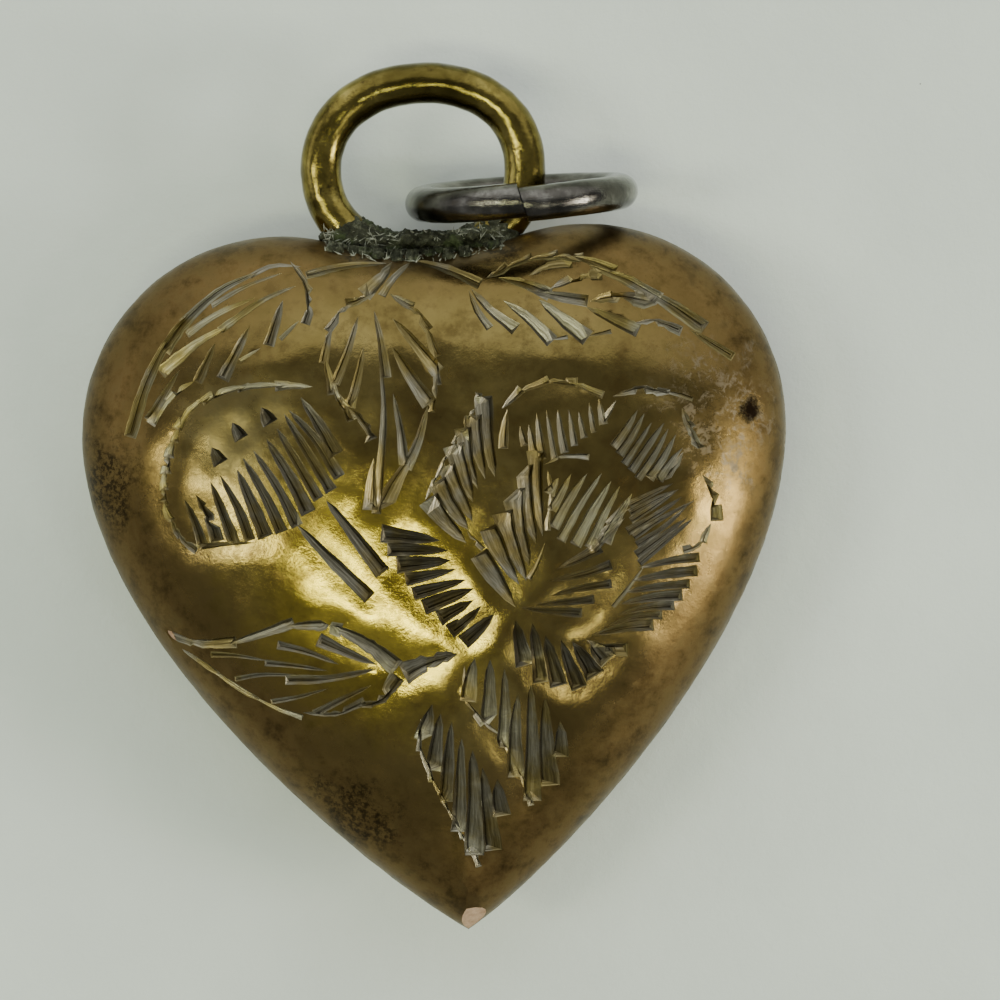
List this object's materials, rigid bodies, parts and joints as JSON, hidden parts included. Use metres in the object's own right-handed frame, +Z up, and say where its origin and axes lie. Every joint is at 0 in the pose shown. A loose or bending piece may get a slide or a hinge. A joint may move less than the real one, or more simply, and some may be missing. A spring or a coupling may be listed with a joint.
{
  "type": "puffed heart pendant",
  "caption": "Hollow puffed-heart pendant in aged brass with a hand-engraved leaf and flower face, a soldered oval bail and a loose split jump ring that travels round it.",
  "frame": {"origin": "on the surface that the pendant lies on, under the middle of its bounding box, which is also under the crown of its back", "axes": "+Z up out of the engraved face, +Y along the middle line from the tip to the bail, +X to the right as the face is read"},
  "size_m": [0.018, 0.0222, 0.0064],
  "materials": {
    "plain_brass": "aged and worn, brown patina",
    "seam_solder": "dull grey solder line",
    "engraved_brass": "olive-gold, hand-engraved, patina towards the rim",
    "bail_brass": "polished by wear, tarnished inside",
    "rough_solder": "rough, dark green-grey with pale salts",
    "ring_steel": "bright, drawn wire"
  },
  "bodies": {
    "heart": {"back_shell": "plain_brass", "rim_seam": "seam_solder", "front_shell": "engraved_brass", "bail_ring": "bail_brass", "bail_solder": "rough_solder"},
    "ring": {"jump_ring": "ring_steel"}
  },
  "joints": [
    {"name": "ring_travel", "type": "hinge", "parent": "heart", "child": "ring", "pos_m": [0, 0.00836, 0.0032], "axis": [0, 0, 1], "range_deg": [-2, 198]}
  ]
}
